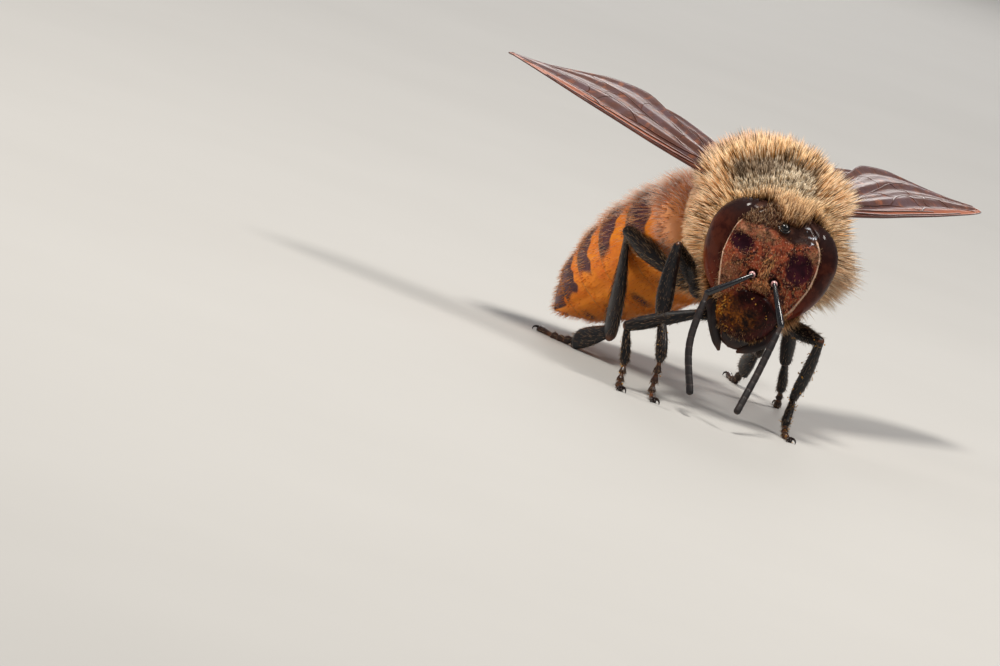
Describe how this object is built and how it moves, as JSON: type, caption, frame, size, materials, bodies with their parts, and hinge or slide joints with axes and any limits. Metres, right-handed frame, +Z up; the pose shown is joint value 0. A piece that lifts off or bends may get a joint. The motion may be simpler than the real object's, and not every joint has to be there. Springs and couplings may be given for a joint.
{
  "type": "honey bee",
  "caption": "Life-size worker honey bee standing with half-spread wings, its head turned and its banded abdomen swung to its right, with a furry thorax.",
  "frame": {"origin": "on the floor, under the middle of the outline seen from above", "axes": "+Z up, the thorax faces -Y and the bee's left side is +X"},
  "size_m": [0.015, 0.014, 0.0081],
  "materials": {
    "thorax_coat": "dense golden-tan coat over dark shell",
    "head_shell": "glossy mottled red-brown shell with short hair",
    "eye": "glossy, finely faceted",
    "ocellus": "polished",
    "scape": "glossy black shell",
    "flagellum": "matte ringed shell",
    "mouthparts": "glossy dark brown shell",
    "abdomen_orange": "orange shell with dark bands and fine hair",
    "abdomen_dark": "orange and dark banded shell",
    "wing": "thin veined membrane",
    "leg": "glossy dark shell with fine hair"
  },
  "bodies": {
    "root": {"forewing_left": "wing", "hindwing_left": "wing", "forewing_right": "wing", "hindwing_right": "wing", "tarsus_fore_right": "leg", "tibia_fore_right": "leg", "femur_fore_right": "leg", "coxa_fore_right": "leg", "tarsus_fore_left": "leg", "tibia_fore_left": "leg", "femur_fore_left": "leg", "coxa_fore_left": "leg", "tarsus_mid_right": "leg", "tibia_mid_right": "leg", "femur_mid_right": "leg", "coxa_mid_right": "leg", "tarsus_mid_left": "leg", "tibia_mid_left": "leg", "femur_mid_left": "leg", "coxa_mid_left": "leg", "tarsus_hind_right": "leg", "tibia_hind_right": "leg", "femur_hind_right": "leg", "coxa_hind_right": "leg", "tarsus_hind_left": "leg", "tibia_hind_left": "leg", "femur_hind_left": "leg", "coxa_hind_left": "leg", "ocellus_middle": "ocellus", "ocellus_left": "ocellus", "ocellus_right": "ocellus", "scape_left": "scape", "flagellum_left": "flagellum", "mandible_left": "mouthparts", "eye_left": "eye", "scape_right": "scape", "flagellum_right": "flagellum", "mandible_right": "mouthparts", "eye_right": "eye", "labrum": "mouthparts", "proboscis": "mouthparts", "head": "head_shell", "abdomen_1": "abdomen_orange", "abdomen_2": "abdomen_orange", "abdomen_3": "abdomen_orange", "abdomen_4": "abdomen_dark", "abdomen_5": "abdomen_dark", "abdomen_6": "abdomen_dark", "thorax": "thorax_coat"}
  },
  "joints": []
}
